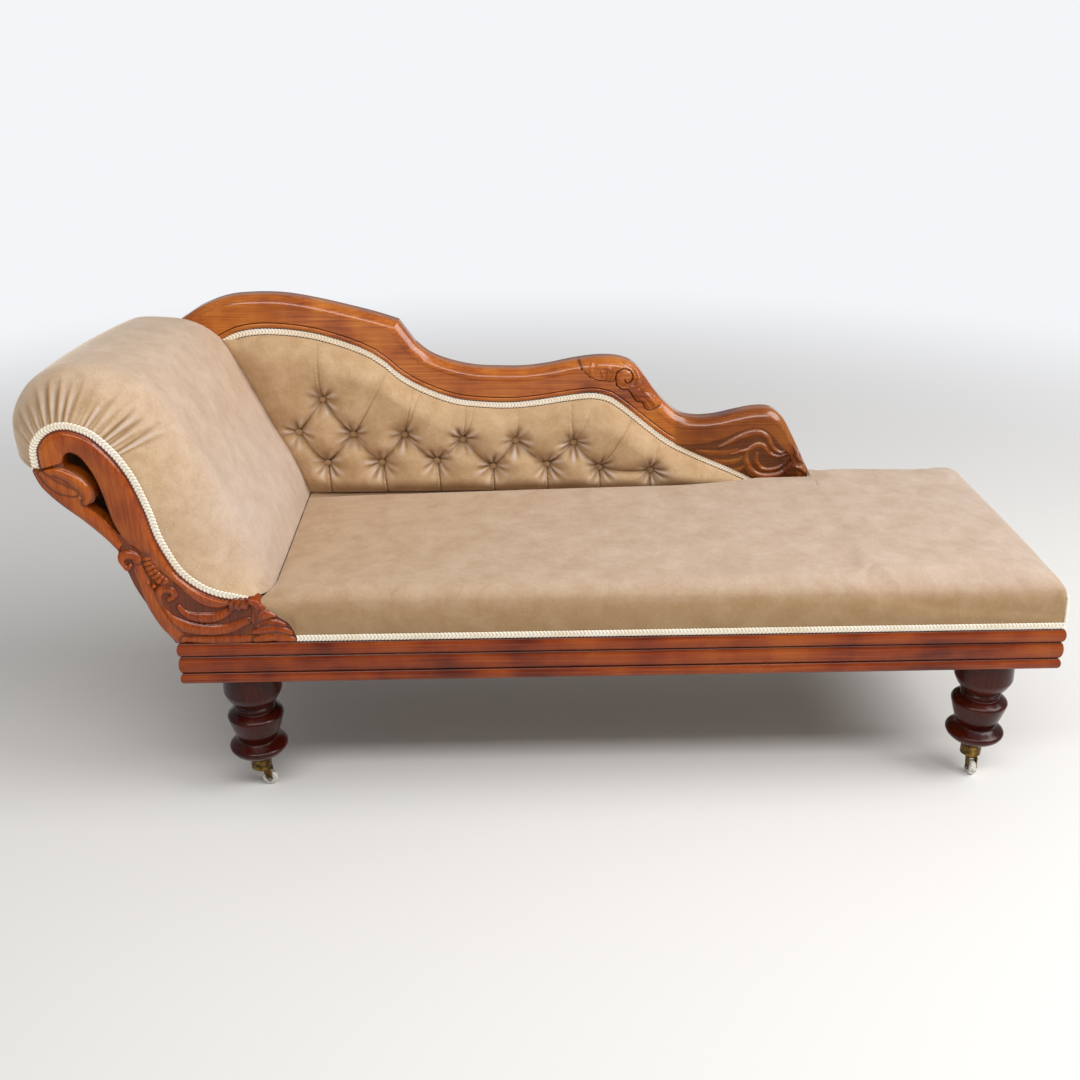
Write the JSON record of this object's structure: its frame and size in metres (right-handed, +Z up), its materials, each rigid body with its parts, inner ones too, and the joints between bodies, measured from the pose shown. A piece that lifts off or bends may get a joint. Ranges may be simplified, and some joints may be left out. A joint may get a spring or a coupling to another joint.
{
  "type": "fainting couch",
  "caption": "Scroll-ended fainting couch with a tufted low back, carved show-wood, velvet upholstery and turned legs on brass castors.",
  "frame": {"origin": "on the floor, under the middle of the whole couch's box", "axes": "+X from the head end to the foot end, +Y from the open front to the back, +Z up"},
  "size_m": [1.7694, 0.5724, 0.816],
  "materials": {
    "show_wood": "polished",
    "frame_wood": "satin",
    "velvet": "matte",
    "braid": "matte",
    "jute": "matte",
    "brass": "satin",
    "china": "gloss",
    "steel": "satin"
  },
  "bodies": {
    "frame": {"front_rail": "show_wood", "foot_rail": "show_wood", "head_rail": "show_wood", "rear_rail": "frame_wood", "corner_blocks": "frame_wood", "seat_stretchers": "frame_wood", "webbing_cross": "jute", "webbing_long": "jute", "seat_springs": "steel", "spring_hessian": "jute", "seat_pad": "velvet", "seat_gimp": "braid", "corner_piping": "braid", "scroll_front": "show_wood", "scroll_carving": "show_wood", "scroll_rear": "frame_wood", "head_laths": "frame_wood", "head_lower_rail": "frame_wood", "head_seat_rail": "frame_wood", "headrest_lining": "jute", "headrest_pad": "velvet", "headrest_cover": "velvet", "headrest_gimp": "braid", "back_lower_rail": "frame_wood", "back_stiles": "frame_wood", "crest_rail_head": "show_wood", "crest_rail_foot": "show_wood", "crest_carving_upper": "show_wood", "crest_carving_end": "show_wood", "back_lining": "jute", "back_pad": "velvet", "back_buttons": "velvet", "back_gimp": "braid", "back_cover": "velvet", "back_bolts": "steel", "leg_front_left": "show_wood", "leg_front_right": "show_wood", "leg_rear_left": "show_wood", "leg_rear_right": "show_wood", "castor_socket_front_left": "brass", "castor_socket_front_right": "brass", "castor_socket_rear_left": "brass", "castor_socket_rear_right": "brass"},
    "swivel_front_left": {"castor_fork_front_left": "brass", "castor_axle_front_left": "steel"},
    "wheel_front_left": {"castor_wheel_front_left": "china"},
    "swivel_front_right": {"castor_fork_front_right": "brass", "castor_axle_front_right": "steel"},
    "wheel_front_right": {"castor_wheel_front_right": "china"},
    "swivel_rear_left": {"castor_fork_rear_left": "brass", "castor_axle_rear_left": "steel"},
    "wheel_rear_left": {"castor_wheel_rear_left": "china"},
    "swivel_rear_right": {"castor_fork_rear_right": "brass", "castor_axle_rear_right": "steel"},
    "wheel_rear_right": {"castor_wheel_rear_right": "china"}
  },
  "joints": [
    {"name": "swivel_turn_front_left", "type": "hinge", "parent": "frame", "child": "swivel_front_left", "pos_m": [-0.56527, -0.22825, 0.0325], "axis": [0, 0, 1], "continuous": true},
    {"name": "wheel_turn_front_left", "type": "hinge", "parent": "swivel_front_left", "child": "wheel_front_left", "pos_m": [-0.55127, -0.22825, 0.014], "axis": [0, 1, 0], "continuous": true},
    {"name": "swivel_turn_front_right", "type": "hinge", "parent": "frame", "child": "swivel_front_right", "pos_m": [0.77472, -0.22825, 0.0325], "axis": [0, 0, 1], "continuous": true},
    {"name": "wheel_turn_front_right", "type": "hinge", "parent": "swivel_front_right", "child": "wheel_front_right", "pos_m": [0.77472, -0.24225, 0.014], "axis": [1, 0, 0], "continuous": true},
    {"name": "swivel_turn_rear_left", "type": "hinge", "parent": "frame", "child": "swivel_rear_left", "pos_m": [-0.56527, 0.22575, 0.0325], "axis": [0, 0, 1], "continuous": true},
    {"name": "wheel_turn_rear_left", "type": "hinge", "parent": "swivel_rear_left", "child": "wheel_rear_left", "pos_m": [-0.57927, 0.22575, 0.014], "axis": [0, -1, 0], "continuous": true},
    {"name": "swivel_turn_rear_right", "type": "hinge", "parent": "frame", "child": "swivel_rear_right", "pos_m": [0.77472, 0.22575, 0.0325], "axis": [0, 0, 1], "continuous": true},
    {"name": "wheel_turn_rear_right", "type": "hinge", "parent": "swivel_rear_right", "child": "wheel_rear_right", "pos_m": [0.78873, 0.22575, 0.014], "axis": [0, 1, 0], "continuous": true}
  ]
}
